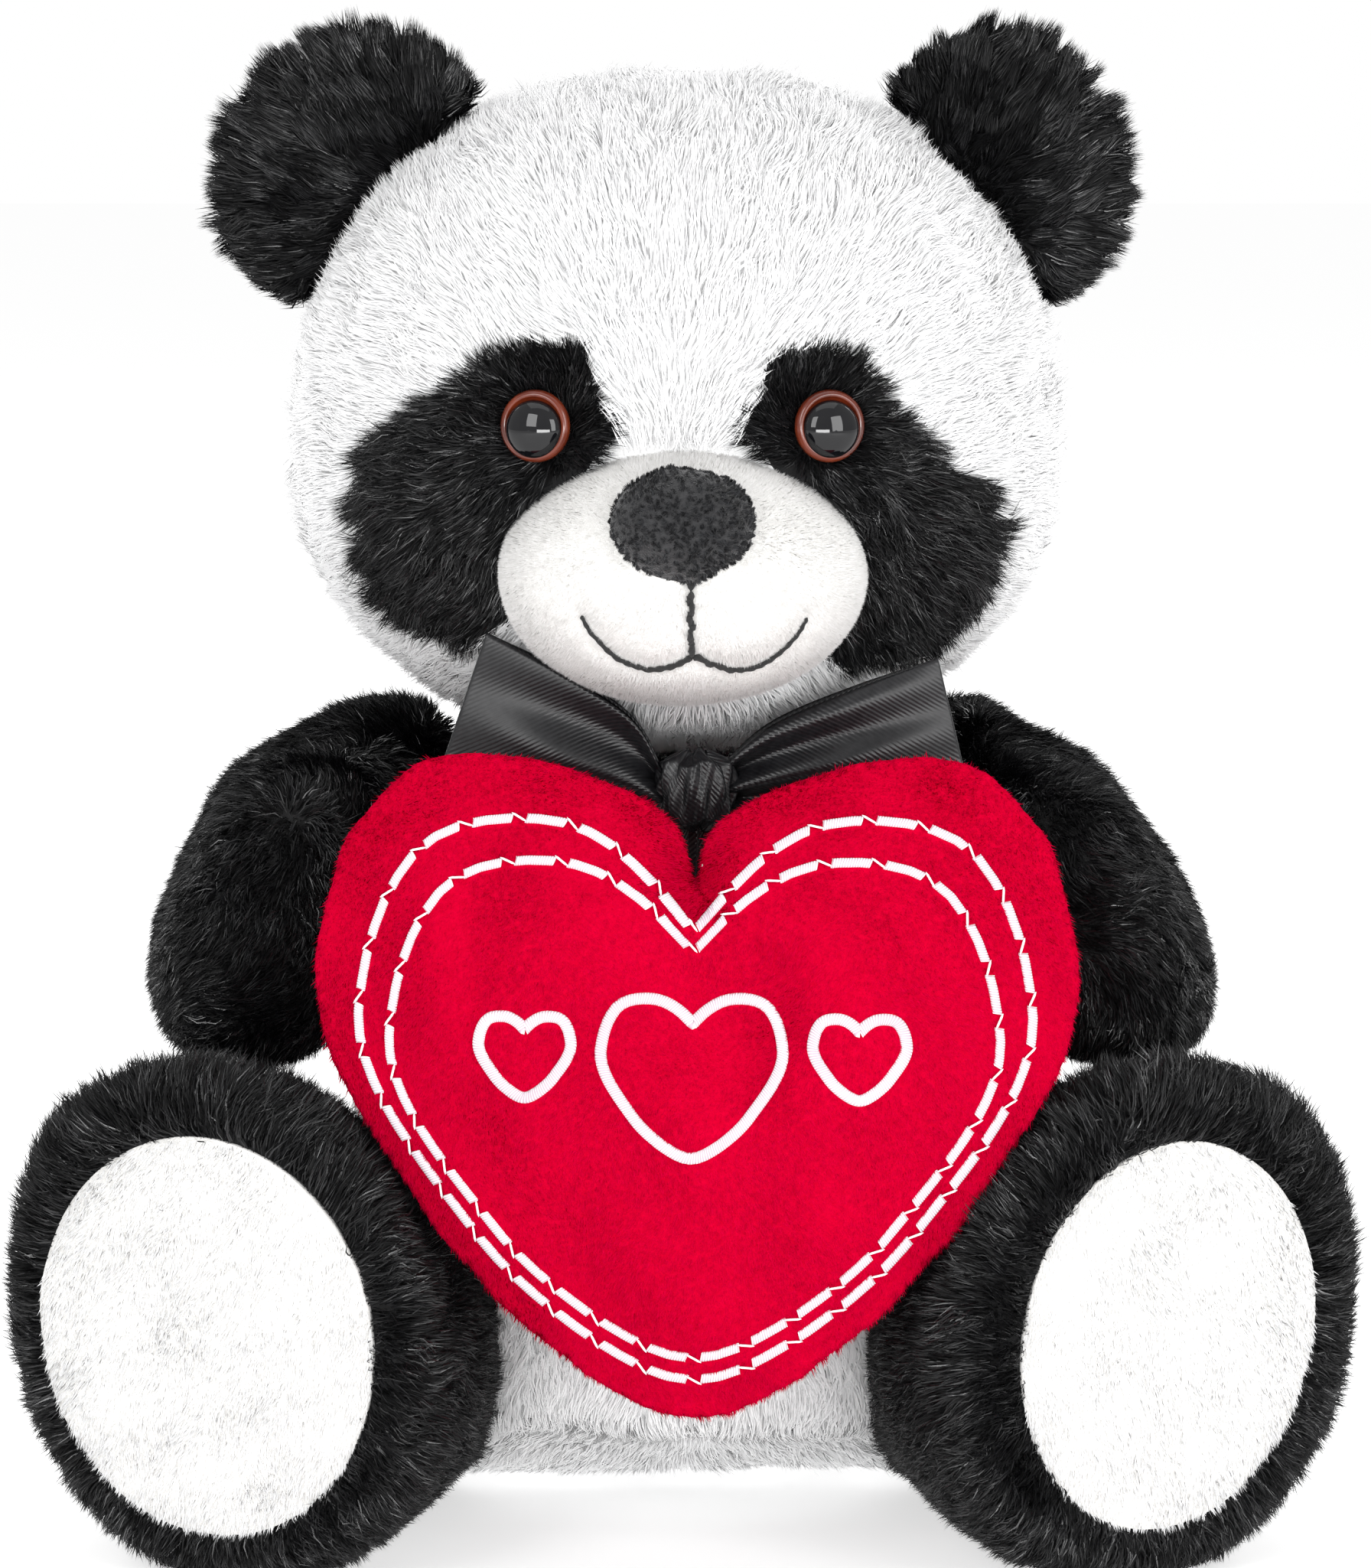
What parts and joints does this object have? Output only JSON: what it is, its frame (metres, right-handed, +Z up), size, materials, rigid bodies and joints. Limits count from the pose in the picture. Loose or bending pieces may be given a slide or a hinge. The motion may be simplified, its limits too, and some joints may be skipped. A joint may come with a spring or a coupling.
{
  "type": "plush toy panda",
  "caption": "Sitting plush panda with a satin neck bow, holding a stuffed heart cushion against its chest.",
  "frame": {"origin": "middle of the bounding box's base, on the surface that the panda sits on", "axes": "+Z up, -Y the way the face looks, +X towards the panda's own left"},
  "size_m": [0.2198, 0.1702, 0.2485],
  "materials": {
    "white_plush": "matte",
    "black_plush": "matte",
    "muzzle_fleece": "matte",
    "sole_fleece": "matte",
    "nose_fleece": "matte",
    "red_plush": "matte",
    "satin_ribbon": "satin",
    "white_thread": "satin",
    "black_thread": "matte",
    "fibre_filling": "matte",
    "label_tape": "satin",
    "eye_amber": "gloss",
    "eye_black": "gloss",
    "washer_plastic": "matte"
  },
  "bodies": {
    "torso": {"body_front_panel": "white_plush", "body_back_panel": "white_plush", "seat_panel": "white_plush", "body_stuffing": "fibre_filling", "pellet_bag": "fibre_filling", "tail": "white_plush", "care_label": "label_tape"},
    "neck": {"neck_stuffing": "fibre_filling"},
    "head": {"head_side_left": "white_plush", "head_side_right": "white_plush", "head_gusset": "white_plush", "head_stuffing": "fibre_filling", "eye_patch_left": "black_plush", "eye_patch_right": "black_plush", "muzzle_cover": "muzzle_fleece", "muzzle_stuffing": "fibre_filling", "nose": "nose_fleece", "mouth_stitching": "black_thread", "eye_rim_left": "eye_amber", "eye_rim_right": "eye_amber", "eye_dome_left": "eye_black", "eye_dome_right": "eye_black", "eye_washer_left": "washer_plastic", "eye_washer_right": "washer_plastic", "neck_ribbon": "satin_ribbon", "bow_knot": "satin_ribbon", "bow_loop_left": "satin_ribbon", "bow_loop_right": "satin_ribbon", "ribbon_tail_left": "satin_ribbon", "ribbon_tail_right": "satin_ribbon"},
    "ear_left": {"ear_front_left": "black_plush", "ear_back_left": "black_plush"},
    "ear_right": {"ear_front_right": "black_plush", "ear_back_right": "black_plush"},
    "arm_left": {"arm_cover_left": "black_plush", "arm_stuffing_left": "fibre_filling"},
    "arm_right": {"arm_cover_right": "black_plush", "arm_stuffing_right": "fibre_filling"},
    "leg_left": {"leg_cover_left": "black_plush", "leg_stuffing_left": "fibre_filling", "foot_sole_left": "sole_fleece"},
    "leg_right": {"leg_cover_right": "black_plush", "leg_stuffing_right": "fibre_filling", "foot_sole_right": "sole_fleece"},
    "heart": {"heart_front_panel": "red_plush", "heart_back_panel": "red_plush", "heart_stuffing": "fibre_filling", "heart_border_stitching": "white_thread", "heart_motif_stitching": "white_thread"}
  },
  "joints": [
    {"name": "neck_turn", "type": "hinge", "parent": "torso", "child": "neck", "pos_m": [0, 0.02909, 0.129], "axis": [0, 0, 1], "range_deg": [-10, 10], "stiffness_Nm_per_rad": 1.5},
    {"name": "neck_nod", "type": "hinge", "parent": "neck", "child": "head", "pos_m": [0, 0.02909, 0.129], "axis": [1, 0, 0], "range_deg": [-8, 3], "stiffness_Nm_per_rad": 1.5},
    {"name": "ear_fold_left", "type": "hinge", "parent": "head", "child": "ear_left", "pos_m": [0.05028, 0.02109, 0.2195], "axis": [0.6428, 0, -0.766], "range_deg": [-15, 15], "stiffness_Nm_per_rad": 0.05},
    {"name": "ear_fold_right", "type": "hinge", "parent": "head", "child": "ear_right", "pos_m": [-0.05028, 0.02109, 0.2195], "axis": [-0.6428, 0, -0.766], "range_deg": [-15, 15], "stiffness_Nm_per_rad": 0.05},
    {"name": "shoulder_left", "type": "hinge", "parent": "torso", "child": "arm_left", "pos_m": [0.051, 0.02709, 0.116], "axis": [0, -1, 0], "range_deg": [0, 25], "stiffness_Nm_per_rad": 0.3},
    {"name": "shoulder_right", "type": "hinge", "parent": "torso", "child": "arm_right", "pos_m": [-0.051, 0.02709, 0.116], "axis": [0, 1, 0], "range_deg": [0, 25], "stiffness_Nm_per_rad": 0.3},
    {"name": "hip_left", "type": "hinge", "parent": "torso", "child": "leg_left", "pos_m": [0.052, -0.00091, 0.028], "axis": [0, 0, 1], "range_deg": [0, 15], "stiffness_Nm_per_rad": 0.5},
    {"name": "hip_right", "type": "hinge", "parent": "torso", "child": "leg_right", "pos_m": [-0.052, -0.00091, 0.028], "axis": [0, 0, -1], "range_deg": [0, 15], "stiffness_Nm_per_rad": 0.5},
    {"name": "heart_lift", "type": "hinge", "parent": "torso", "child": "heart", "pos_m": [0.0005, -0.04091, 0.124], "axis": [-1, 0, 0], "range_deg": [0, 12], "stiffness_Nm_per_rad": 0.3}
  ]
}
